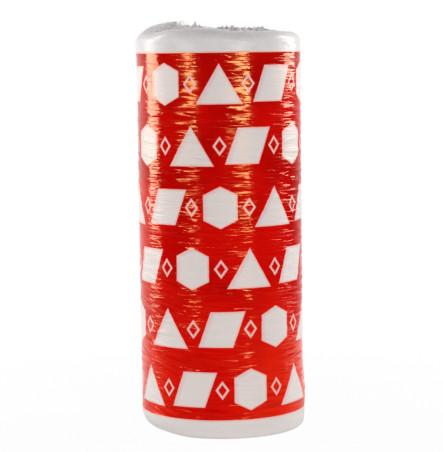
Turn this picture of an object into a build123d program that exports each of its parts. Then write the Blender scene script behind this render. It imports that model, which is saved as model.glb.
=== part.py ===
from build123d import *

# A roll of mineral-wool insulation, standing on one end in its printed wrapping film.
# Millimetres, Z up. The origin is the middle of the face that the roll stands on, and -Y is the front.
import math
import os

# The wound mat
mat_width = 1000.0          # width of the mat, which is the roll's height
turn_pitch = 37.0           # one turn of the mat, as squeezed by the winding
turn_count = 5              # whole turns from the bore to the outside
bore_radius = 19.0          # hole that the first tight turn leaves open
bore_lip = 4.0              # slope of the mat's edge round the bore
turn_shoulder = 5.5         # the mat's long edges slope this far into the gap between two turns
turn_gap = 1.4              # width of that gap at its foot
turn_gap_depth = 10.0       # depth of the gap below the end face
top_rim = 24.0              # rounding of the roll's upper rim, drawn in by the film
bottom_rim = 28.0           # rounding of its lower rim, which also carries the weight
rim_bands = 3               # straight bands that round a rim where the film hides it

# The wrapping film
film_clearance = 0.3        # air between the wool and the film
film_build = 1.2            # layers of film, with the air in their wrinkles
film_opening = 100.0        # radius left open in the middle of each end
hem_height = 5.0            # the film's gathered edge stands up this far round the upper opening
hem_wall = 2.0              # and is this thick, from the layers drawn together there
lap_build = 0.7             # step where the last layer of film ends
lap_width = 90.0            # arc length of that layer's overlap
lap_bearing = 100.0         # degrees from +X, which puts the overlap at the back

# The folds that gather the film over the upper end
fold_count = 36
fold_height = 11.0          # height of a fold where it meets the opening
fold_lean = 4.0             # how far its crest lies over to one side
fold_foot_share = 0.84      # foot of a fold, as a share of its room round the opening
short_fold_share = 0.62     # reach of every second fold, as a share of the longer ones

wool_radius = bore_radius + turn_count * turn_pitch
film_outside = film_clearance + film_build
wool_bottom = film_outside
wool_top = wool_bottom + mat_width
film_top = wool_top + film_outside
upright = (Align.CENTER, Align.CENTER, Align.MIN)
full_turn = 360.0
half_turn = full_turn / 2
quarter_turn = full_turn / 4


def rim_points(centre, height, radius, start):
    # Corners of the bands that round one rim, along a quarter circle that begins at this bearing
    bearings = [math.radians(start + band * quarter_turn / rim_bands) for band in range(rim_bands + 1)]
    return [(centre + radius * math.cos(turn), height + radius * math.sin(turn)) for turn in bearings]


def roll_outline(grown):
    # The wool's outside, or a surface that lies this far outside it under the film
    side = wool_radius + grown
    low = wool_bottom - grown
    high = wool_top + grown
    low_rim = bottom_rim + grown
    high_rim = top_rim + grown
    outline = [
        (0, low),
        *rim_points(side - low_rim, low + low_rim, low_rim, -quarter_turn),
        *rim_points(side - high_rim, high - high_rim, high_rim, 0),
        (0, high),
    ]
    return revolve(Plane.XZ * make_face(Polyline(*outline, close=True)), Axis.Z)


def film_outline():
    # The film's outside, with its rims fully round
    body = Cylinder(wool_radius + film_outside, film_top, align=upright)
    body = fillet(body.edges().sort_by(Axis.Z)[0], bottom_rim + film_outside)
    return fillet(body.edges().sort_by(Axis.Z)[-1], top_rim + film_outside)


def gap_section(radius):
    # Section of the gap between two turns, with their sloping shoulders. The end face is at Z = 0.
    foot = turn_gap / 2
    mouth = foot + turn_shoulder
    outline = Polyline(
        (mouth, 0),
        (mouth, turn_gap_depth),
        (-mouth, turn_gap_depth),
        (-mouth, 0),
        (-foot, -turn_gap_depth),
        (foot, -turn_gap_depth),
        close=True,
    )
    return Plane.XZ * Pos(radius, 0) * make_face(outline)


def spiral_gap():
    # The gap winds out from the bore in half turns about two centres, each tangent to the next.
    # It ends where the last whole turn of the mat begins.
    step = turn_pitch / 2
    gap = []
    for half in range(2 * turn_count - 2):
        outward = half % 2
        centre = (outward - 1 / 2) * step
        section = gap_section(bore_radius + step / 2 + half * step)
        swept = revolve(section, Axis.Z, half_turn)
        gap.append(Pos(centre, 0, 0) * Rot(0, 0, outward * half_turn) * swept)
    return gap[0] + gap[1:]


def wool_roll():
    roll = roll_outline(0) - Pos(0, 0, wool_bottom) * Cylinder(bore_radius, mat_width, align=upright)
    mouths = roll.edges().filter_by(GeomType.CIRCLE).sort_by(SortBy.RADIUS)[:2]
    roll = chamfer(mouths, bore_lip)
    gap = spiral_gap()
    roll -= Pos(0, 0, wool_top) * gap
    return roll - Pos(0, 0, wool_bottom) * Rot(half_turn, 0, 0) * gap


def gathered_hem():
    # The film's edge, drawn together into a low collar round the upper opening
    base = film_top - film_build / 2
    outside = Cylinder(film_opening + hem_wall, film_build / 2 + hem_height, align=upright)
    inside = Cylinder(film_opening, film_build / 2 + hem_height, align=upright)
    return Pos(0, 0, base) * (outside - inside)


def fold(number):
    # One fold of gathered film: a slim pyramid from a point near the rim to a leaning crest at the opening
    base = film_top - film_build / 2
    half_foot = math.pi * film_opening / fold_count * fold_foot_share
    reach = wool_radius - top_rim - film_opening
    if number % 2:
        reach *= short_fold_share
    section = Polyline(
        (film_opening, -half_foot, base),
        (film_opening, half_foot, base),
        (film_opening, fold_lean, film_top + fold_height),
        close=True,
    )
    tip = Vertex(film_opening + reach, 0, base)
    return Rot(0, 0, number * full_turn / fold_count) * loft([make_face(section), tip], ruled=True)


def film_lap():
    # Overlap of the last layer down the side, from one rim to the other
    inside = wool_radius + film_clearance + film_build / 2
    outside = wool_radius + film_outside + lap_build
    low = wool_bottom + bottom_rim
    high = wool_top - top_rim
    section = Plane.XZ * Pos((inside + outside) / 2, (low + high) / 2) * Rectangle(
        outside - inside, high - low
    )
    swept = revolve(section, Axis.Z, math.degrees(lap_width / outside))
    return Rot(0, 0, lap_bearing) * swept


def wrapper_film():
    film = film_outline() - roll_outline(film_clearance)
    film -= Cylinder(film_opening, film_top, align=upright)
    film += gathered_hem()
    film += [fold(number) for number in range(fold_count)]
    return film + film_lap()


os.makedirs("parts", exist_ok=True)
export_step(wool_roll(), "parts/wool_roll.step")
export_step(wrapper_film(), "parts/wrapper_film.step")
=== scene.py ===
import math

import bmesh
import bpy
import numpy as np
from mathutils import Matrix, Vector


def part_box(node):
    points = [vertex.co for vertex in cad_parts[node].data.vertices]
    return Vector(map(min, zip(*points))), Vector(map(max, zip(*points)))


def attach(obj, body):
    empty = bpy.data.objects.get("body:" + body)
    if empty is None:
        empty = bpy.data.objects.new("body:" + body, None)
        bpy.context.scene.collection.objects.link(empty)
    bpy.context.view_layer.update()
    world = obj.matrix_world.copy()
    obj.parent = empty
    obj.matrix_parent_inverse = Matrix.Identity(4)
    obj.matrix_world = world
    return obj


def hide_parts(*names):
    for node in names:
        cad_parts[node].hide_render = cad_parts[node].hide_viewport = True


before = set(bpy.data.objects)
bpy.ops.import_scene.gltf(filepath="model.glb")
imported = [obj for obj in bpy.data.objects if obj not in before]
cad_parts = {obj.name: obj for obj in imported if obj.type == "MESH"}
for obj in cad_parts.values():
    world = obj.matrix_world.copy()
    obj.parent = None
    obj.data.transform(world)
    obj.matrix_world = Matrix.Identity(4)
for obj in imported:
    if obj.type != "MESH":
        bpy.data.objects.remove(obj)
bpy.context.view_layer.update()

fullTurn = 2 * math.pi
halfTurn = math.pi
quarterTurn = math.pi / 2
together = 1e-6                                # points nearer than this are one
sharpAngle = math.radians(60)                  # faces that meet at more than this keep their edge
scene = bpy.context.scene
filmLow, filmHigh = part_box("wrapper_film")
woolLow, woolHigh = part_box("wool_roll")
rollRadius = (filmHigh.x - filmLow.x) / 2      # outside of the film
woolRadius = (woolHigh.x - woolLow.x) / 2
filmGap = woolLow.z - filmLow.z                # film and air under the wool
filmTop = woolHigh.z + filmGap                 # the film's flat upper end, without its folds


# Shader maths

class Signal:
    # One socket of a finish, which takes part in sums like a number
    def __init__(self, finish, socket):
        self.finish = finish
        self.socket = socket

    def math(self, operation, *others):
        return self.finish.math(operation, self, *others)

    def __add__(self, other):
        return self.math("ADD", other)

    def __sub__(self, other):
        return self.math("SUBTRACT", other)

    def __rsub__(self, other):
        return self.finish.math("SUBTRACT", other, self)

    def __mul__(self, other):
        return self.math("MULTIPLY", other)

    def __truediv__(self, other):
        return self.math("DIVIDE", other)

    def __neg__(self):
        return self.math("MULTIPLY", -1)

    def __abs__(self):
        return self.math("ABSOLUTE")

    def floor(self):
        return self.math("FLOOR")

    def low(self, other):
        return self.math("MINIMUM", other)

    def high(self, other):
        return self.math("MAXIMUM", other)


class Finish:
    # A material under construction: its node tree and the one way in which nodes are added
    def __init__(self, name, shelf=bpy.data.materials):
        self.material = shelf.new(name)
        self.material.use_nodes = True
        self.tree = self.material.node_tree
        self.tree.nodes.clear()

    def node(self, kind, settings=None, values=None, output=0):
        made = self.tree.nodes.new(kind)
        for name, value in (settings or {}).items():
            setattr(made, name, value)
        for name, value in (values or {}).items():
            socket = made.inputs[name]
            if isinstance(value, Signal):
                self.tree.links.new(value.socket, socket)
            else:
                socket.default_value = value
        return Signal(self, made.outputs[output])

    def math(self, operation, *values):
        return self.node("ShaderNodeMath", {"operation": operation}, dict(enumerate(values)))

    def place(self):
        return self.node("ShaderNodeTexCoord", output="Object")

    def parts(self, vector):
        made = self.node("ShaderNodeSeparateXYZ", values={"Vector": vector}).socket.node
        return [Signal(self, socket) for socket in made.outputs]

    def join(self, x, y, z):
        return self.node("ShaderNodeCombineXYZ", values={"X": x, "Y": y, "Z": z})

    def noise(self, vector, scale, detail=2.0, roughness=0.5, distortion=0.0):
        return self.node("ShaderNodeTexNoise", values={
            "Vector": vector, "Scale": scale, "Detail": detail,
            "Roughness": roughness, "Distortion": distortion})

    def mapRange(self, value, fromLow, fromHigh, toLow=0.0, toHigh=1.0):
        return self.node("ShaderNodeMapRange", {"interpolation_type": "SMOOTHSTEP"}, {
            "Value": value, "From Min": fromLow, "From Max": fromHigh,
            "To Min": toLow, "To Max": toHigh})

    def mixColour(self, factor, first, second):
        # The sockets of a colour mix are known by their numbers
        return self.node("ShaderNodeMix", {"data_type": "RGBA"}, {
            0: factor, 6: first, 7: second}, output=2)

    def bump(self, height, strength=1.0):
        return self.node("ShaderNodeBump", values={
            "Strength": strength, "Distance": 1.0, "Height": height})

    def finish(self, surface):
        isWorld = isinstance(self.material, bpy.types.World)
        output = self.tree.nodes.new(
            "ShaderNodeOutputWorld" if isWorld else "ShaderNodeOutputMaterial")
        self.tree.links.new(surface.socket, output.inputs["Surface"])
        return self.material


def solid(red, green, blue):
    return (red, green, blue, 1.0)


# The print on the film

printing = {
    "bandLow": 0.052,           # the red ground starts here, over a plain white margin
    "bandHigh": 0.948,
    "rows": 6,
    "columns": 9,               # a multiple of the kinds of block, which take turns
    "kinds": 3,
    "kindStep": 2,              # each row begins this many kinds further on
    "kindSlack": 0.1,           # a kind's number counts within this
    "stagger": 0.5,             # every second row is this share of a column further round
    "hexHeight": 0.104,
    "hexWidth": 0.084,
    "hexSlope": 0.50,           # rise of the pointed ends over their half width
    "wedgeHeight": 0.098,
    "wedgeSlope": 1.70,         # rise of a wedge's sides over its half width
    "slabHeight": 0.088,
    "slabWidth": 0.086,
    "slabLean": 0.36,
    "diamondHeight": 0.038,
    "diamondWidth": 0.028,
    "diamondLine": 0.0052,
    "pinkEdge": 0.0058,         # the white is pink this far in from the ink's edge
    "shadeWidth": 0.009,        # a block's left is shaded for about this far
    "blur": 0.0007,
    "slip": 0.004,              # how far the film's stretch moves the print
    "slipScale": 5.0,
    "red": solid(0.80, 0.0010, 0.0008),
    # darker red: for the ink's clouds, for the upper part that the painted floor light leaves
    # darker, and for painted shade in wrinkle valleys
    "deepRedAndShade": solid(0.55, 0.0006, 0.0006),
    # brighter orange red, for the painted light and sheen at the lower sides
    "sheenRed": solid(0.97, 0.018, 0.004),
    "white": solid(0.86, 0.80, 0.785),
    "shade": solid(0.84, 0.64, 0.68),
    "marginWhite": solid(0.83, 0.795, 0.785),
    "pink": solid(1.0, 0.57, 0.53),
}


def blockDistance(across, up, isWedge, isSlab):
    # Three kinds of block take turns: a pointed one, a wedge and a leaning slab
    side = abs(across)
    level = abs(up)
    slope = printing["hexSlope"]
    ends = (level + side * slope - printing["hexHeight"] / 2) / math.hypot(1, slope)
    hexagon = (side - printing["hexWidth"] / 2).high(ends)

    slope = printing["wedgeSlope"]
    foot = printing["wedgeHeight"] / 2
    flanks = (up + side * slope - foot) / math.hypot(1, slope)
    wedge = (-up - foot).high(flanks)

    lean = printing["slabLean"]
    flanks = (abs(across - up * lean) - printing["slabWidth"] / 2) / math.hypot(1, lean)
    slab = (level - printing["slabHeight"] / 2).high(flanks)
    return hexagon * (1 - isWedge - isSlab) + wedge * isWedge + slab * isSlab


def whitePrint(ink, point):
    # How far a point lies outside the white shapes, in metres, and outside their unshaded parts
    x, y, z = ink.parts(point)
    slipping = ink.noise(point, printing["slipScale"], detail=1.0) - 0.5
    girth = fullTurn * rollRadius
    around = ink.math("ARCTAN2", x, -y) * rollRadius
    rise = z - printing["bandLow"] + slipping * printing["slip"]
    rowPitch = (printing["bandHigh"] - printing["bandLow"]) / printing["rows"]
    columnPitch = girth / printing["columns"]

    row = (rise / rowPitch).floor()
    up = rise - (row + 0.5) * rowPitch
    stagger = row.math("MODULO", 2) * printing["stagger"]
    column = around / columnPitch + stagger
    across = (column - column.floor() - 0.5) * columnPitch + slipping * printing["slip"]
    kind = (column.floor() + row * printing["kindStep"]).math("FLOORED_MODULO", printing["kinds"])
    isWedge = kind.math("COMPARE", 1, printing["kindSlack"])
    isSlab = kind.math("COMPARE", 2, printing["kindSlack"])
    block = blockDistance(across, up, isWedge, isSlab)
    shade = printing["shadeWidth"]
    bright = blockDistance(across - shade, up + shade / 2, isWedge, isSlab)

    # A small open diamond where two columns meet, between two blocks
    beside = columnPitch / 2 - abs(across)
    tall = printing["diamondHeight"] / 2
    wide = printing["diamondWidth"] / 2
    diamond = (beside * tall + abs(up) * wide - tall * wide) / math.hypot(tall, wide)
    return block.low(abs(diamond) - printing["diamondLine"] / 2), bright


inkLook = {
    "cloudScale": 7.0,
    "floorLightRise": 0.35,                  # painted light: the red is lighter low down, where the floor lights it
    "inkCloudsAndFloorLight": (0.08, 0.50),
    "sheenHeights": (0.42, 0.10),     # painted light and sheen: a brighter, more orange red from the first height down to the second
    "sheenMiddle": -0.025,            # but not here, only at both sides of it
    "sheenSides": (0.06, 0.15),
    "paintedSheen": 0.85,
    "bandEdge": 0.001,
    "shadeEdge": 0.005,
    "shaded": 0.8,
    "paintedValleyShade": 0.55,                    # share of painted shade, in deep red, in the valleys between two wrinkles
    "roughClouds": (0.3, 0.75),
    "roughness": (0.09, 0.15),
    "dullWhite": 0.32,                  # the white ink is this much rougher
    "mirrorTint": solid(1.0, 0.52, 0.18),
}

ripples = {
    # each layer's stretch round the roll, its slant, and its noise's scale, detail and roughness
    "long": (17.0, 0.0, 9.0, 2.0, 0.5),
    "sharp": (15.0, 0.0, 11.0, 1.0, 0.4),
    "short": (5.0, 0.0, 52.0, 2.0, 0.5),
    "leaning": (16.0, 0.0, 8.0, 2.0, 0.5),
    "crease": (12.0, 0.6, 7.0, 1.0, 0.4),
}

filmRelief = {
    "longHeight": 0.0008,
    "shortHeight": 0.0002,
    "sharpHeight": 0.0015,
    "leaningHeight": 0.0026,
    "creaseHeight": 0.00035,
    "creaseWidth": 0.045,               # how far the noise is from its middle at a crease's edge
    "drift": 0.012,                     # how far the wrinkles wander up and down
    "driftScale": 4.0,
    "leanRight": 0.10,                  # the leaning ones fall this much towards the right
    "leanBack": 0.29,                   # and rise this much towards the back
    "leftHeights": (0.50, 0.38),        # low down at the left they take over
    "leftSides": (-0.05, -0.12),
    "leftCalm": 0.7,                    # the others are lower there by this share
    "calmScale": 6.0,
    "calmPatches": (0.35, 0.62, 0.55, 1.0),     # in patches they are lower, down to this share
    "calmTop": (0.72, 0.86, 1.0, 0.28),         # towards the top the film is tight
    # painted shade: the valleys of the leaning and of the long wrinkles, and the heights at which
    # the long ones take it
    "leaningShadeSpan": (0.50, 0.38),
    "longShadeSpan": (0.46, 0.34),
    "lowShadeHeights": (0.30, 0.10),
}


def ripple(ink, x, y, level, kind):
    # One layer of wrinkles, which run round the roll
    stretch, slant, scale, detail, roughness = ripples[kind]
    height = level * stretch
    if slant:
        height = height + x * slant
    return ink.noise(ink.join(x, y, height), scale, detail=detail, roughness=roughness)


def filmWrinkles(ink, point):
    # Height of the fine tight wrinkles, and the painted shade in the valleys between them
    x, y, z = ink.parts(point)
    drift = ink.noise(point, filmRelief["driftScale"], detail=1.0) * filmRelief["drift"]
    askew = z + x * filmRelief["leanRight"] - y * filmRelief["leanBack"] + drift
    level = z + drift
    long = ripple(ink, x, y, level, "long")
    sharp = ripple(ink, x, y, level, "sharp")
    short = ripple(ink, x, y, level, "short")
    calm = ink.noise(point, filmRelief["calmScale"], detail=1.0)
    calm = ink.mapRange(calm, *filmRelief["calmPatches"])
    calm = calm * ink.mapRange(z, *filmRelief["calmTop"])
    leaning = ripple(ink, x, y, askew, "leaning")
    lowLeft = ink.mapRange(z, *filmRelief["leftHeights"])
    lowLeft = lowLeft * ink.mapRange(x, *filmRelief["leftSides"])
    crease = ripple(ink, x, y, level, "crease")
    crease = ink.mapRange(abs(crease - 0.5), filmRelief["creaseWidth"], 0.0)
    relief = long * filmRelief["longHeight"] + short * filmRelief["shortHeight"]
    relief = relief + abs(sharp - 0.5) * filmRelief["sharpHeight"]
    relief = relief * calm * (1 - lowLeft * filmRelief["leftCalm"])
    relief = relief + leaning * lowLeft * filmRelief["leaningHeight"]
    relief = relief + crease * filmRelief["creaseHeight"]
    # Painted shade: the red is darkened in these valleys, at the low left and low down
    valleyShade = ink.mapRange(leaning, *filmRelief["leaningShadeSpan"]) * lowLeft
    lowValleyShade = ink.mapRange(long, *filmRelief["longShadeSpan"])
    lowValleyShade = lowValleyShade * ink.mapRange(z, *filmRelief["lowShadeHeights"])
    return relief, valleyShade.high(lowValleyShade)


def printedFilm():
    look = inkLook
    ink = Finish("printedFilm")
    point = ink.place()
    x, y, z = ink.parts(point)
    margin = (z - printing["bandLow"]).low(printing["bandHigh"] - z)
    shapes, bright = whitePrint(ink, point)
    edge = shapes.low(margin)

    cloudy = ink.noise(point, look["cloudScale"], detail=3.0)
    # Random clouds of ink tone, and painted floor light that makes the red lighter low down
    inkAndFloorLight = ink.mapRange(cloudy - z * look["floorLightRise"], *look["inkCloudsAndFloorLight"])
    red = ink.mixColour(inkAndFloorLight, printing["deepRedAndShade"], printing["red"])
    # Painted light and sheen: the red is brighter and more orange low down at both sides
    paintedSheen = ink.mapRange(abs(x - look["sheenMiddle"]), *look["sheenSides"])
    paintedSheen = ink.mapRange(z, *look["sheenHeights"]) * paintedSheen
    red = ink.mixColour(paintedSheen * look["paintedSheen"], red, printing["sheenRed"])
    inBand = ink.mapRange(margin, -look["bandEdge"], look["bandEdge"])
    shade = ink.mapRange(bright, -look["shadeEdge"], look["shadeEdge"]) * inBand
    white = ink.mixColour(inBand, printing["marginWhite"], printing["white"])
    white = ink.mixColour(shade * look["shaded"], white, printing["shade"])
    pink = ink.mapRange(edge, -printing["pinkEdge"], -printing["blur"])
    inked = ink.mapRange(edge, -printing["blur"], printing["blur"])
    colour = ink.mixColour(inked, ink.mixColour(pink, white, printing["pink"]), red)

    relief, valleyShade = filmWrinkles(ink, point)
    # Painted shade in the wrinkles' valleys
    colour = ink.mixColour(valleyShade * inked * look["paintedValleyShade"], colour, printing["deepRedAndShade"])
    rough = ink.mapRange(cloudy, *look["roughClouds"], *look["roughness"])
    rough = rough + (1 - inked) * look["dullWhite"]
    surface = ink.node("ShaderNodeBsdfPrincipled", values={
        "Base Color": colour, "Roughness": rough, "Normal": ink.bump(relief),
        "Specular IOR Level": 1.0, "Specular Tint": look["mirrorTint"]})
    return ink.finish(surface)


plainLook = {
    "cloudScale": 26.0,
    "clouds": (0.3, 0.7),
    "tint": solid(0.80, 0.765, 0.755),
    # painted light: flaps are lighter, as if lit from behind
    "flap": solid(0.93, 0.92, 0.91),
    # painted shade of the deep creases
    "crease": solid(0.20, 0.18, 0.17),
    "creaseScale": 55.0,
    "creaseHeights": (0.985, 1.0, 0.0003, 0.0016),      # they are higher on the end
    "bandStretch": 13.0,
    "bandScale": 12.0,
    "bandHeight": 0.0005,
    "bumpStrength": 0.8,
    "roughness": (0.24, 0.32),
    "mirroring": 0.28,
    "glow": solid(1, 0.97, 0.95),       # painted glow, for light that comes through a flap
    "glowStrength": 0.20,
}


def whiteFilm():
    # Film with no print on it. Its flaps have a painted glow and a lighter colour for the light that
    # comes through them, and its deep creases have painted shade.
    look = plainLook
    film = Finish("whiteFilm")
    point = film.place()
    flapGlow = film.node("ShaderNodeAttribute", {"attribute_name": "flapGlow"}, output="Fac")
    dark = film.node("ShaderNodeAttribute", {"attribute_name": "dark"}, output="Fac")
    x, y, z = film.parts(point)
    cloudy = film.noise(point, look["cloudScale"], detail=4.0)
    colour = film.mixColour(
        film.mapRange(cloudy, *look["clouds"]), look["tint"], printing["marginWhite"])
    # Painted light: flaps lighter, as if lit from behind
    colour = film.mixColour(flapGlow, colour, look["flap"])
    # Painted shade in the deep creases
    colour = film.mixColour(dark, colour, look["crease"])
    creases = film.noise(point, look["creaseScale"], detail=4.0, roughness=0.6, distortion=0.6)
    bands = film.noise(film.join(x, y, z * look["bandStretch"]), look["bandScale"], detail=3.0)
    relief = creases * film.mapRange(z, *look["creaseHeights"]) + bands * look["bandHeight"]
    surface = film.node("ShaderNodeBsdfPrincipled", values={
        "Base Color": colour,
        "Roughness": film.mapRange(cloudy, *look["clouds"], *look["roughness"]),
        "Normal": film.bump(relief, look["bumpStrength"]),
        "Specular IOR Level": look["mirroring"],
        # painted glow of the flaps
        "Emission Color": film.mixColour(flapGlow, solid(0, 0, 0), look["glow"]),
        "Emission Strength": look["glowStrength"]})
    return film.finish(surface)


woolLook = {
    "layerScale": 420.0,
    "layerTurn": 0.03,          # how fast the layers change round the roll
    "layerRise": 0.2,           # and up it
    "fibreScale": 900.0,
    "clumpScale": 90.0,
    "layerShare": 0.6,
    "fibreShare": 0.25,
    "clumpShare": 0.3,
    "tones": (0.38, 0.78),
    "dark": solid(0.30, 0.26, 0.17),
    "light": solid(0.76, 0.70, 0.52),
    "layerHeight": 0.0012,
    "fibreHeight": 0.0008,
    "bumpStrength": 0.9,
    "roughness": 0.95,
    "mirroring": 0.2,
    "sheen": 0.25,
    "sheenRoughness": 0.6,
}


def stoneWool():
    look = woolLook
    wool = Finish("stoneWool")
    point = wool.place()
    x, y, z = wool.parts(point)
    reach = (x * x + y * y).math("SQRT")
    side = (x / reach) * look["layerTurn"]
    front = (y / reach) * look["layerTurn"]
    layers = wool.noise(
        wool.join(reach, side, front + z * look["layerRise"]), look["layerScale"],
        detail=4.0, roughness=0.62)
    fibres = wool.noise(point, look["fibreScale"], detail=3.0, roughness=0.7, distortion=1.2)
    clumps = wool.noise(point, look["clumpScale"], detail=3.0)
    tone = layers * look["layerShare"] + fibres * look["fibreShare"] + clumps * look["clumpShare"]
    colour = wool.mixColour(wool.mapRange(tone, *look["tones"]), look["dark"], look["light"])
    relief = layers * look["layerHeight"] + fibres * look["fibreHeight"]
    surface = wool.node("ShaderNodeBsdfPrincipled", values={
        "Base Color": colour, "Roughness": look["roughness"],
        "Normal": wool.bump(relief, look["bumpStrength"]), "Specular IOR Level": look["mirroring"],
        "Sheen Weight": look["sheen"], "Sheen Roughness": look["sheenRoughness"]})
    return wool.finish(surface)


# Relief for the meshes

uneven = {
    "footHeight": 0.070,
    "footLeft": -0.60,              # below nothing the lower rim is rounder there, above it squarer
    "footRight": 0.90,
    "footSides": (-0.9, 0.9),       # from left to right, in shares of the radius
    "liftLeft": 0.006,              # its edge curls up this far at the left
    "liftSides": (0.07, 0.17),
    "droopRight": 0.005,            # the upper end hangs this much lower at the right
    "rightSides": (-0.01, 0.05),
    "droopLeft": 0.006,
    "leftSides": (-0.165, -0.115),
    "crown": 0.004,                 # and stands this much higher here
    "crownPlace": -0.060,
    "crownReach": 0.042,
    "backCalm": 0.6,                # all this is less at the back by this share
    "backDepths": (0.0, 0.15),
    "overInk": 0.01,                # the upper end starts this far over the red
    "underTop": 0.004,
    "swells": (
        # side (right is 1), height, half height, how far it stands out
        (-1, 0.975, 0.045, 0.0030),
        (1, 0.085, 0.060, 0.0055),
        (-1, 0.560, 0.200, 0.0010),
    ),
    "swellSides": (0.2, 1.0),
    "swellDepths": (0.5, 0.9),
}


def smoothStep(low, high, value):
    share = np.clip((value - low) / (high - low), 0, 1)
    return share * share * (3 - 2 * share)


def bell(value, power=2):
    # One in the middle, and falling off to both sides
    return np.exp(-value ** power)


def wrinkleField(seed, spanUp, spanRound, rows, columns, pitch, length, slant=0.0):
    # Random long wrinkles over an unrolled wall: they close on themselves round the roll.
    # pitch is the distance between two of them, length how far each runs, slant their rise.
    draw = np.random.default_rng(seed).standard_normal((rows, columns))
    upward = np.fft.fftfreq(rows, d=spanUp / rows)[:, None]
    roundward = np.fft.rfftfreq(columns, d=spanRound / columns)[None, :]
    spread = (roundward + slant * upward) * length
    beat = np.abs(upward) * pitch
    keep = bell(spread) * beat ** 2 * bell(beat)
    field = np.fft.irfft2(np.fft.rfft2(draw) * keep, s=(rows, columns))
    return field / field.std()


def sampleField(field, turn, level):
    # The field's value at a share of a turn and a share of its height
    rows, columns = field.shape
    column = (turn % 1.0) * columns
    row = np.clip(level, 0, 1) * (rows - 1)
    firstColumn = np.floor(column).astype(int)
    firstRow = np.clip(np.floor(row).astype(int), 0, rows - 2)
    pastColumn = column - firstColumn
    pastRow = row - firstRow
    firstColumn = firstColumn % columns
    nextColumn = (firstColumn + 1) % columns
    lower = field[firstRow, firstColumn] * (1 - pastColumn)
    lower += field[firstRow, nextColumn] * pastColumn
    upper = field[firstRow + 1, firstColumn] * (1 - pastColumn)
    upper += field[firstRow + 1, nextColumn] * pastColumn
    return lower * (1 - pastRow) + upper * pastRow


def turnBetween(bearing, place):
    # Signed way round from a place to a bearing, by the shorter side
    return (bearing - place + halfTurn) % fullTurn - halfTurn


def readPoints(mesh):
    points = np.empty(len(mesh.vertices) * 3)
    mesh.vertices.foreach_get("co", points)
    return points.reshape(-1, 3)


def writePoints(mesh, points):
    mesh.vertices.foreach_set("co", points.ravel())
    mesh.update()


def pushOutward(points, radius, shift):
    points[:, :2] *= ((radius + shift) / radius)[:, None]


def spunPiece(name, stations, columns):
    # A closed ring: stations are corners of its section, each with the cuts on the way to the next
    bm = bmesh.new()
    corners = [bm.verts.new((radius, 0, height)) for radius, height, cuts in stations]
    edges = [bm.edges.new(pair) for pair in zip(corners, corners[1:] + corners[:1])]
    for edge, (radius, height, cuts) in zip(edges, stations):
        if cuts:
            bmesh.ops.subdivide_edges(bm, edges=[edge], cuts=cuts)
    section = list(bm.verts) + list(bm.edges)
    bmesh.ops.spin(bm, geom=section, cent=(0, 0, 0), axis=(0, 0, 1), dvec=(0, 0, 0),
                   angle=fullTurn, steps=columns, use_merge=True)
    bmesh.ops.remove_doubles(bm, verts=bm.verts, dist=together)
    bmesh.ops.recalc_face_normals(bm, faces=bm.faces)
    for face in bm.faces:
        face.smooth = True
    mesh = bpy.data.meshes.new(name)
    bm.to_mesh(mesh)
    bm.free()
    mesh.set_sharp_from_angle(angle=sharpAngle)
    piece = bpy.data.objects.new(name, mesh)
    scene.collection.objects.link(piece)
    return piece


def settle(points):
    # The soft roll isn't quite even. Film and mat share this, so they stay one inside the other.
    x, y, z = points.T
    right = x / rollRadius
    up = z - filmLow.z
    foot = np.clip(up / uneven["footHeight"], 0, 1)
    sideways = smoothStep(*uneven["footSides"], right)
    squarer = uneven["footLeft"] + (uneven["footRight"] - uneven["footLeft"]) * sideways
    drop = squarer * foot * (1 - foot) * uneven["footHeight"]
    drop -= uneven["liftLeft"] * (1 - foot) * smoothStep(*uneven["liftSides"], -x)
    tilt = uneven["droopRight"] * smoothStep(*uneven["rightSides"], x)
    tilt += uneven["droopLeft"] * (1 - smoothStep(*uneven["leftSides"], x))
    tilt -= uneven["crown"] * bell((x - uneven["crownPlace"]) / uneven["crownReach"])
    tilt *= 1 - uneven["backCalm"] * smoothStep(*uneven["backDepths"], y)
    endLow = printing["bandHigh"] + uneven["overInk"]
    drop += tilt * smoothStep(endLow, filmTop - uneven["underTop"], z)
    wider = np.zeros(len(points))
    for side, height, reach, outward in uneven["swells"]:
        onSide = smoothStep(*uneven["swellSides"], right * side)
        wider += outward * bell((up - height) / reach) * onSide
    radius = np.maximum(np.hypot(x, y), together)
    wider *= smoothStep(*uneven["swellDepths"], radius / rollRadius)
    points[:, 0] += x / radius * wider
    points[:, 1] += y / radius * wider
    points[:, 2] -= drop


def arcStations(centreRadius, centreHeight, radius, start, steps):
    # A quarter circle of section corners, counted from its first bearing
    turns = [start + number * quarterTurn / steps for number in range(steps + 1)]
    return [
        (centreRadius + radius * math.cos(turn), centreHeight + radius * math.sin(turn), 0)
        for turn in turns
    ]


# The film round the side and under the roll

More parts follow.
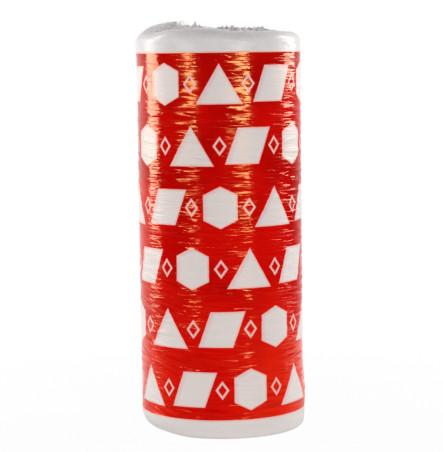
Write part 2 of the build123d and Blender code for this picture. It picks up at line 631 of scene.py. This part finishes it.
sleeve = {
    "columns": 200,
    "wall": 0.0010,
    "lowerRim": 0.0295,
    "openingRadius": 0.100,
    "lowerCuts": 9,                     # cuts across the lower end
    "rimSteps": 10,
    "sideCuts": 430,
    "edgeCuts": 3,
    "innerSteps": 5,
    "overInk": 0.006,                   # the sleeve ends this far over the red
    "fadeUnder": (0.012, 0.001),        # its wrinkles fade out this far under that joint
    "fadeRim": (0.6, 1.6),              # and over these shares of the lower rim
    "lapBearing": math.radians(100),    # the last layer of film ends here, at the back
    "lapTurn": math.radians(25),
    "lapRise": 0.0007,
    "seed": 41,
    "wrinkles": {
        "fieldRows": 640,
        "fieldColumns": 320,
        "fields": (
            # distance between two wrinkles, length of each and its rise
            (0.0085, 0.040, 0.0),       # tight ones
            (0.0095, 0.045, -0.32),     # leaning ones
            (0.028, 0.090, -0.08),      # slack ones
            (0.200, 0.150, 0.0),        # the patches in which they are strong
        ),
        "fine": 0.00022,                # height of the tight wrinkles
        "broad": 0.00055,               # height of the slack ones
        "patches": (-1.2, 1.2),
        "finePatch": (0.5, 0.8),        # their strength everywhere, and what a patch adds to it
        "broadPatch": (0.4, 0.6),
        "askewLevels": (0.36, 0.52),    # low down at the left they lean
        "askewSides": (-0.14, -0.07),
        "askewCalm": 0.8,               # the tight ones are lower there by this share
        "askewGain": 1.6,               # and the leaning ones this many times as high
        "tightLevels": (0.74, 0.86),    # the film is tighter towards the top
        "tightCalm": 0.6,
        "inward": 0.35,                 # share of the wall that a wrinkle sinks in at most
    },
}


def sideFields():
    wrinkles = sleeve["wrinkles"]
    height = filmTop - filmLow.z
    girth = fullTurn * rollRadius
    rows = wrinkles["fieldRows"]
    columns = wrinkles["fieldColumns"]
    return [
        wrinkleField(sleeve["seed"] + number, height, girth, rows, columns, *shape)
        for number, shape in enumerate(wrinkles["fields"])
    ]


def sideWrinkles(points, level, fields):
    # Outward shift of the film's side at each point
    wrinkles = sleeve["wrinkles"]
    turn = np.arctan2(points[:, 1], points[:, 0]) / fullTurn
    tight, leaning, slack, patches = [sampleField(field, turn, level) for field in fields]
    patch = smoothStep(*wrinkles["patches"], patches)
    askew = 1 - smoothStep(*wrinkles["askewLevels"], level)
    askew *= 1 - smoothStep(*wrinkles["askewSides"], points[:, 0])
    fine = tight * (1 - wrinkles["askewCalm"] * askew)
    fine += wrinkles["askewGain"] * leaning * askew
    fineBase, fineGain = wrinkles["finePatch"]
    broadBase, broadGain = wrinkles["broadPatch"]
    shift = wrinkles["fine"] * fine * (fineBase + fineGain * patch)
    shift += wrinkles["broad"] * slack * (broadBase + broadGain * patch)
    shift *= 1 - wrinkles["tightCalm"] * smoothStep(*wrinkles["tightLevels"], level)
    return np.maximum(shift, -sleeve["wall"] * wrinkles["inward"])


def makeSleeve(fields):
    wall = sleeve["wall"]
    rim = sleeve["lowerRim"]
    side = rollRadius
    base = filmLow.z
    joint = printing["bandHigh"] + sleeve["overInk"]
    outer = [(sleeve["openingRadius"], base, sleeve["lowerCuts"])]
    outer += arcStations(side - rim, base + rim, rim, -quarterTurn, sleeve["rimSteps"])
    outer[-1] = (side, base + rim, sleeve["sideCuts"])
    outer += [(side, joint, 0), (side - wall, joint, sleeve["edgeCuts"])]
    inner = arcStations(side - rim, base + rim, rim - wall, 0, sleeve["innerSteps"])
    inner = [(radius, 2 * (base + rim) - height, cuts) for radius, height, cuts in inner]
    inner += [(sleeve["openingRadius"], base + wall, 0)]
    piece = spunPiece("filmSleeve", outer + inner, sleeve["columns"])

    points = readPoints(piece.data)
    height = points[:, 2]
    radius = np.hypot(points[:, 0], points[:, 1])
    level = (height - base) / (filmTop - base)
    outside = radius > side - wall / 2
    fadeLow, fadeHigh = sleeve["fadeRim"]
    ends = smoothStep(base + rim * fadeLow, base + rim * fadeHigh, height)
    fadeStart, fadeEnd = sleeve["fadeUnder"]
    ends *= 1 - smoothStep(joint - fadeStart, joint - fadeEnd, height)
    pastLap = np.arctan2(points[:, 1], points[:, 0]) % fullTurn - sleeve["lapBearing"]
    lap = (pastLap > 0) & (pastLap < sleeve["lapTurn"])
    shift = sideWrinkles(points, level, fields) + lap * sleeve["lapRise"]
    pushOutward(points, radius, shift * ends * outside)
    settle(points)
    writePoints(piece.data, points)
    return piece


# The film gathered over the upper end

gather = {
    "columns": 672,
    "wall": 0.0010,
    "upperRim": 0.0255,
    "openingRadius": 0.100,
    "sideCuts": 11,
    "rimSteps": 14,
    "endCuts": 40,
    "innerCuts": 12,
    "innerSteps": 6,
    "fadeOver": (0.001, 0.012),             # its wrinkles begin this far over the joint
    "seed": 58,
    "slack": {
        "height": 0.024,                    # the slack film stands up this far at the back left
        "bearing": math.radians(140),
        "turns": (math.radians(30), math.radians(52)),      # towards the back and the left
        "overJoint": 0.012,
        "ending": (0.35, 1.0),              # it sinks again over these shares of the way in
    },
    "flaps": (
        # bearing in degrees, distance from the axis, half widths round (degrees) and across,
        # height, and the share of painted glow and lighter colour it takes
        (135, 0.124, 11, 0.006, 0.012, 1.0),        # a flap beside the slack film
        (124, 0.107, 2.6, 0.004, 0.017, 0.6),       # a corner that sticks up
        (94, 0.120, 9, 0.007, 0.006, 1.0),
        (28, 0.150, 24, 0.012, 0.001, 0.0),         # the far side shows over the near one
        (-60, 0.135, 8, 0.008, 0.003, 0.0),
    ),
    "flapGlowHeights": (0.001, 0.006),             # a flap takes its painted glow between these heights
    "crumples": (
        # bearing and half width in degrees, height, and the share of painted shade in their creases
        (-71, 15, 0.0068, 0.9),
        (-38, 13, 0.0060, 0.9),
        (62, 20, 0.0050, 0.5),
        (-130, 20, 0.0015, 0.0),
        (10, 16, 0.0030, 0.4),
    ),
    "crumpleStart": (0.45, 0.85),           # they grow over these shares of the way in
    "crumpleFloor": 0.2,                    # share of their height that is left between spikes
    "spikes": (-1.5, 1.7),
    "creases": (0.35, 0.75),                # painted shade at the first height of a spike, none at the second
    "folds": {
        "count": 40,
        "height": (0.0015, 0.0065),
        "turn": (0.050, 0.110),             # half width of a fold, in radians
        "start": (0.02, 0.60),              # share of the way in from the rim at which it rises
        "lean": 0.16,
        "jitter": 0.35,                     # share of its room that a fold's place varies by
        "frontShare": 0.3,                  # those at the front have this share of their height
        "frontSines": (-0.6, 0.6),
    },
    "fine": {
        "height": 0.0005,                   # height of the fine crumples on all of the end
        "floor": 0.9,
        "start": (0.0, 0.2),
    },
    "pleats": {
        "height": 0.0017,
        "floor": 0.7,
        "start": (0.05, 0.75),
    },
    "hem": {
        "heights": (0.001, 0.005),          # the ragged edge round the opening
        "ragged": (-1.5, 1.5),
        "start": (0.86, 1.0),
    },
    "fieldDepth": 0.1,                      # the end as unrolled, from the rim in
    "fieldRadius": 0.15,                    # and the radius at which its girth is true
    "fields": {
        # what is added to the seed, rows, columns, distance between two wrinkles, their length
        "fine": (1, 128, 1024, 0.022, 0.015),
        "edge": (3, 64, 1024, 0.05, 0.016),
        "spikes": (4, 160, 1400, 0.0240, 0.0180),
    },
    "inwardField": (2, 1024, 128, 0.017, 0.045, 0.25),      # the pleats run inward, and slant
}


def sampleEnd(kind, turn, inward):
    # One of the end's fields, at shares of a turn and of the way in from the rim
    number, rows, columns, pitch, length = gather["fields"][kind]
    girth = fullTurn * gather["fieldRadius"]
    seed = gather["seed"] + number
    field = wrinkleField(seed, gather["fieldDepth"], girth, rows, columns, pitch, length)
    return sampleField(field, turn, inward)


def samplePleats(turn, inward):
    number, rows, columns, pitch, length, slant = gather["inwardField"]
    girth = fullTurn * gather["fieldRadius"]
    seed = gather["seed"] + number
    field = wrinkleField(seed, girth, gather["fieldDepth"], rows, columns, pitch, length, slant)
    return sampleField(field.T, turn, inward)


def foldRelief(bearing, inward):
    # Height of the gathered folds, which run in from the rim and grow towards the opening
    folds = gather["folds"]
    draw = np.random.default_rng(gather["seed"])
    relief = np.zeros(len(bearing))
    for number in range(folds["count"]):
        place = number + draw.uniform(-folds["jitter"], folds["jitter"])
        place = place * fullTurn / folds["count"]
        height = draw.uniform(*folds["height"])
        turn = draw.uniform(*folds["turn"])
        start = draw.uniform(*folds["start"])
        lean = draw.uniform(-1, 1) * folds["lean"]
        away = turnBetween(bearing, place + lean * inward)
        crest = smoothStep(0, 1, 1 - np.abs(away) / turn)
        relief = np.maximum(relief, height * crest * smoothStep(start, 1.0, inward))
    towardBack = smoothStep(*folds["frontSines"], np.sin(bearing))
    return relief * (folds["frontShare"] + (1 - folds["frontShare"]) * towardBack)


def slackRelief(bearing, height, inward, joint):
    # The slack film that stands up at the back left
    slack = gather["slack"]
    away = turnBetween(bearing, slack["bearing"])
    reach = np.where(away < 0, *slack["turns"])
    hump = np.cos(np.clip(np.abs(away) / reach, 0, 1) * quarterTurn) ** 2
    hump *= smoothStep(joint + slack["overJoint"], filmTop, height)
    return slack["height"] * hump * (1 - smoothStep(*slack["ending"], inward))


def endRelief(bearing, inward, onEnd):
    # Folds, fine crumples, pleats and the ragged edge round the opening
    fine = gather["fine"]
    pleats = gather["pleats"]
    hem = gather["hem"]
    turn = bearing / fullTurn
    rise = foldRelief(bearing, inward)
    depth = np.maximum(0, sampleEnd("fine", turn, inward) + fine["floor"])
    rise += fine["height"] * depth * smoothStep(*fine["start"], inward)
    depth = np.maximum(0, samplePleats(turn, inward) + pleats["floor"])
    rise += pleats["height"] * depth * smoothStep(*pleats["start"], inward)
    ragged = smoothStep(*hem["ragged"], sampleEnd("edge", turn, np.full_like(inward, 0.5)))
    lowest, highest = hem["heights"]
    rise += (lowest + (highest - lowest) * ragged) * smoothStep(*hem["start"], inward)
    return rise * onEnd


def crumpleRelief(bearing, inward, onEnd):
    # Patches of small spikes, and the painted shade in the creases between them
    spiky = smoothStep(*gather["spikes"], sampleEnd("spikes", bearing / fullTurn, inward))
    rise = np.zeros(len(bearing))
    dark = np.zeros(len(bearing))
    for place, half, tall, shadeShare in gather["crumples"]:
        away = turnBetween(bearing, math.radians(place)) / math.radians(half)
        here = bell(away, 4) * onEnd * smoothStep(*gather["crumpleStart"], inward)
        rise += tall * here * (gather["crumpleFloor"] + spiky)
        dark = np.maximum(dark, shadeShare * here * (1 - smoothStep(*gather["creases"], spiky)))
    return rise, dark


def flapRelief(bearing, radius, onEnd):
    # Flaps of film that stand up, and the painted glow of each point of them
    rise = np.zeros(len(bearing))
    flapGlow = np.zeros(len(bearing))
    for place, distance, half, across, tall, glowShare in gather["flaps"]:
        away = turnBetween(bearing, math.radians(place)) / math.radians(half)
        flap = tall * bell(away, 4) * bell((radius - distance) / across) * onEnd
        flapGlow = np.maximum(flapGlow, glowShare * smoothStep(*gather["flapGlowHeights"], flap))
        rise += flap
    return rise, flapGlow


def makeGather(fields):
    wall = gather["wall"]
    rim = gather["upperRim"]
    side = rollRadius
    joint = printing["bandHigh"] + sleeve["overInk"]
    opening = gather["openingRadius"]
    outer = [(side, joint, gather["sideCuts"])]
    outer += arcStations(side - rim, filmTop - rim, rim, 0, gather["rimSteps"])
    outer[-1] = (side - rim, filmTop, gather["endCuts"])
    outer += [(opening, filmTop, 0)]
    inner = [(opening, filmTop - wall, gather["innerCuts"])]
    arc = arcStations(side - rim, filmTop - rim, rim - wall, 0, gather["innerSteps"])
    inner += list(reversed(arc)) + [(side - wall, joint, 0)]
    piece = spunPiece("filmGather", outer + inner, gather["columns"])

    points = readPoints(piece.data)
    radius = np.hypot(points[:, 0], points[:, 1])
    bearing = np.arctan2(points[:, 1], points[:, 0])
    inward = np.clip((side - rim - radius) / (side - rim - opening), 0, 1)
    onEnd = smoothStep(filmTop - rim, filmTop, points[:, 2])
    rise = slackRelief(bearing, points[:, 2], inward, joint)
    rise += endRelief(bearing, inward, onEnd)
    crumpled, dark = crumpleRelief(bearing, inward, onEnd)
    flapped, flapGlow = flapRelief(bearing, radius, onEnd)
    points[:, 2] += rise + crumpled + flapped

    # The side of the margin has the sleeve's wrinkles, fading to none at the joint
    outside = radius > side - wall / 2
    fadeStart, fadeEnd = gather["fadeOver"]
    fade = smoothStep(joint + fadeStart, joint + fadeEnd, points[:, 2])
    level = (points[:, 2] - filmLow.z) / (filmTop - filmLow.z)
    shift = sideWrinkles(points, level, fields) * fade
    pushOutward(points, radius, shift * outside * (1 - onEnd))
    settle(points)
    writePoints(piece.data, points)
    # The flaps' painted glow and the creases' painted shade go to the finish as attributes
    for name, values in (("flapGlow", flapGlow), ("dark", dark)):
        piece.data.attributes.new(name, "FLOAT", "POINT").data.foreach_set("value", values)
    return piece


# The wound mat

mat = {
    "columns": 288,
    "pitch": 0.037,             # one turn of the mat
    "bore": 0.019,
    "halfTurns": 8,
    "shoulder": 0.0062,         # half width of the gap's mouth
    "shoulderPower": 1.3,
    "depth": 0.010,
    "shown": 0.112,             # the turns are finely cut out to here
    "rim": 0.026,
    "inset": 0.0010,            # its side lies this far in, clear of the film's wrinkles
    "shownCuts": 72,
    "hiddenCuts": 3,
    "sideCuts": 30,
    "boreCuts": 6,
    "rimSteps": 4,
    "dome": 0.0026,             # each turn's edge stands up this far between two gaps
    "lip": 0.004,
    "lipWidth": 0.005,
    "fray": 0.0014,
    # width and girth of the end as unrolled, rows, columns, distance between two wisps, their length
    "frayField": (0.1, 0.4, 256, 1024, 0.0045, 0.010),
    "frayLimits": (-0.003, 0.001),
    "endSlack": 1e-4,           # points within this of an end are part of it
    "seed": 73,
}


def turnGap(x, y):
    # Distance to the middle of the spiral gap, which winds in half turns about two centres
    step = mat["pitch"] / 2
    upperHalf = y >= 0
    centre = np.where(upperHalf, -step / 2, step / 2)
    reach = np.hypot(x - centre, y)
    first = np.where(upperHalf, 0, 1)
    count = np.round((reach - mat["bore"] - step / 2 - first * step) / mat["pitch"])
    count = np.clip(count, 0, mat["halfTurns"] / 2 - 1)
    return np.abs(reach - (mat["bore"] + step / 2 + (first + 2 * count) * step))


def makeMat():
    rim = mat["rim"]
    side = woolRadius - mat["inset"]
    low = woolLow.z
    high = woolHigh.z
    stations = [(mat["bore"], low, mat["shownCuts"]), (mat["shown"], low, mat["hiddenCuts"])]
    stations += arcStations(side - rim, low + rim, rim, -quarterTurn, mat["rimSteps"])
    stations[-1] = (*stations[-1][:2], mat["sideCuts"])
    stations += arcStations(side - rim, high - rim, rim, 0, mat["rimSteps"])
    stations += [(mat["shown"], high, mat["shownCuts"]), (mat["bore"], high, mat["boreCuts"])]
    piece = spunPiece("woolMat", stations, mat["columns"])

    points = readPoints(piece.data)
    radius = np.hypot(points[:, 0], points[:, 1])
    x, y, z = points.T
    apart = turnGap(x, np.where(z > (low + high) / 2, y, -y))   # the base shows the spiral mirrored
    groove = mat["depth"] * (1 - smoothStep(0.0, mat["shoulder"], apart)) ** mat["shoulderPower"]
    groove += mat["dome"] * (1 - smoothStep(0.0, mat["pitch"] / 2, apart))
    lip = mat["lip"] * (1 - smoothStep(mat["bore"], mat["bore"] + mat["lipWidth"], radius))
    fray = wrinkleField(mat["seed"], *mat["frayField"])
    turn = np.arctan2(y, x) / fullTurn
    frayed = sampleField(fray, turn, radius / mat["shown"]) * mat["fray"] * (radius < mat["shown"])
    lowest, highest = mat["frayLimits"]
    sink = groove + lip - np.clip(frayed, lowest, highest) + highest
    atTop = z > high - mat["endSlack"]
    atBase = z < low + mat["endSlack"]
    points[:, 2] += np.where(atTop, -sink, 0) + np.where(atBase, sink, 0)
    settle(points)
    writePoints(piece.data, points)
    return piece


print("modelling the film")
filmFinish = printedFilm()
gatherFinish = whiteFilm()
fields = sideFields()
filmSleeve = makeSleeve(fields)
filmSleeve.data.materials.append(filmFinish)
filmGather = makeGather(fields)
filmGather.data.materials.append(gatherFinish)
print("modelling the mat")
woolMat = makeMat()
woolMat.data.materials.append(stoneWool())

for piece, node, slot in (
    (filmSleeve, "wrapper_film", "printed_film"),
    (filmGather, "wrapper_film", "printed_film"),
    (woolMat, "wool_roll", "mineral_wool"),
):
    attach(piece, "root")
    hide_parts(node)


# Floor, light and camera

studio = {
    "floorRadius": 1.5,
    "floorSides": 64,
    "floorColour": solid(0.78, 0.78, 0.78),
    "floorDim": solid(0.05, 0.05, 0.05),    # its colour in what the film mirrors
    "floorGlow": 0.95,          # share of the floor's look that is plain white near the roll
    "shadowReach": (0.52, 1.3),     # between these distances it grows to all of it
    "floorLight": 0.74,         # share of the glow in the light that the floor gives
    "floorDepths": (-0.3, 0.6),     # what the film mirrors of the floor is bright behind the roll
    "frontLevel": 0.06,         # brightness of the room behind the camera
    "mirrorLevel": 0.02,        # brightness of the same in what the film mirrors
    "backLevel": 0.50,          # brightness of the white behind the roll
    "mirrorBack": 0.88,         # and that in what the film mirrors
    "backSpan": (0.0, 1.05),    # it grows from none sideways to nearly all of it straight back
    "ceiling": 0.41,            # how much the white reaches over the roll
    "rightWall": 0.75,          # and round to its right
    "rightShade": 0.50,         # the film mirrors less of it there
    "lampDistance": 2.1,
}

softBoxes = {
    # bearing from the front in degrees, radiance, lowest edge, width, height, lean in degrees
    "leftRim": (-107.5, 6.9, 0.42, 0.80, 2.20, 16),
    "leftFront": (-45, 13.0, 0.38, 0.20, 1.37, 52),
    "rightFront": (26, 14.0, 0.38, 0.28, 1.37, 52),
    "rightRim": (114, 6.8, 0.88, 1.05, 1.65, 0),
}


def makeFloor():
    # The camera sees a floor that glows nearly white. The film is lit by less, and mirrors less.
    bm = bmesh.new()
    bmesh.ops.create_circle(
        bm, cap_ends=True, segments=studio["floorSides"], radius=studio["floorRadius"])
    mesh = bpy.data.meshes.new("studioFloor")
    bm.to_mesh(mesh)
    bm.free()
    floor = bpy.data.objects.new("studioFloor", mesh)
    floor.location.z = filmLow.z
    scene.collection.objects.link(floor)
    paint = Finish("floorWhite")
    direct = paint.node("ShaderNodeLightPath", output="Is Camera Ray")
    mirrored = paint.node("ShaderNodeLightPath", output="Is Glossy Ray")
    mirrored = mirrored.high(paint.node("ShaderNodeLightPath", output="Is Transmission Ray"))
    dim = paint.mixColour(mirrored, studio["floorColour"], studio["floorDim"])
    matt = paint.node("ShaderNodeBsdfDiffuse", values={"Color": dim})
    glow = paint.node("ShaderNodeEmission", values={"Color": solid(1, 1, 1), "Strength": 1.0})
    x, y, z = paint.parts(paint.place())
    away = (x * x + y * y).math("SQRT")
    share = paint.mapRange(away, *studio["shadowReach"], studio["floorGlow"], 1.0)
    behind = paint.mapRange(y, *studio["floorDepths"], studio["mirrorLevel"], 1.0)
    seen = direct.high(mirrored * behind)
    seen = seen.high((1 - mirrored) * studio["floorLight"])
    both = paint.node("ShaderNodeMixShader", values={0: seen * share, 1: matt, 2: glow})
    mesh.materials.append(paint.finish(both))


def makeWorld():
    # White where the camera looks. For light and in what the film mirrors, it is behind the roll.
    sky = Finish("studioWorld", bpy.data.worlds)
    scene.world = sky.material
    direct = sky.node("ShaderNodeLightPath", output="Is Camera Ray")
    direct = direct.high(sky.node("ShaderNodeLightPath", output="Is Transmission Ray"))
    mirrored = sky.node("ShaderNodeLightPath", output="Is Glossy Ray")
    x, y, z = sky.parts(sky.node("ShaderNodeTexCoord", output="Generated"))
    darkest = mirrored * (studio["mirrorLevel"] - studio["frontLevel"]) + studio["frontLevel"]
    brightest = mirrored * (studio["mirrorBack"] - studio["backLevel"]) + studio["backLevel"]
    sideways = studio["rightWall"] - mirrored * (studio["rightWall"] + studio["rightShade"])
    lit = y + z * studio["ceiling"] + x.high(0) * sideways
    behind = sky.mapRange(lit, *studio["backSpan"], darkest, brightest)
    light = sky.node("ShaderNodeBackground", values={
        "Color": solid(1, 1, 1), "Strength": direct.high(behind)})
    sky.finish(light)


def makeLamps():
    for name, (bearing, radiance, lowEdge, width, height, lean) in softBoxes.items():
        lamp = bpy.data.lights.new(name, "AREA")
        lamp.shape = "RECTANGLE"
        lamp.size = width
        lamp.size_y = height
        lamp.energy = radiance * math.pi * width * height   # watts for that radiance
        holder = bpy.data.objects.new(name, lamp)
        turn = Matrix.Rotation(math.radians(bearing), 4, "Z")
        place = Matrix.Translation((0, -studio["lampDistance"], lowEdge + height / 2))
        upright = Matrix.Rotation(quarterTurn, 4, "X")
        leaning = Matrix.Rotation(math.radians(lean), 4, "Z")
        holder.matrix_world = turn @ place @ upright @ leaning
        scene.collection.objects.link(holder)


camera = {
    "lens": 132.6,
    "sensor": 36.0,
    "distance": 4.21,
    "height": 0.948,
    "aside": 0.0022,
    "pitch": math.radians(-5.946),
    "roll": math.radians(0.7),
}


def makeCamera():
    lens = bpy.data.cameras.new("photoCamera")
    lens.lens = camera["lens"]
    lens.sensor_width = camera["sensor"]
    lens.dof.use_dof = False
    holder = bpy.data.objects.new("photoCamera", lens)
    place = Matrix.Translation((camera["aside"], -camera["distance"], camera["height"]))
    turn = Matrix.Rotation(quarterTurn + camera["pitch"], 4, "X")
    lean = Matrix.Rotation(-camera["roll"], 4, "Z")
    holder.matrix_world = place @ turn @ lean
    scene.collection.objects.link(holder)
    scene.camera = holder


print("setting the studio")
makeFloor()
makeWorld()
makeLamps()
makeCamera()
scene.view_settings.view_transform = "Standard"
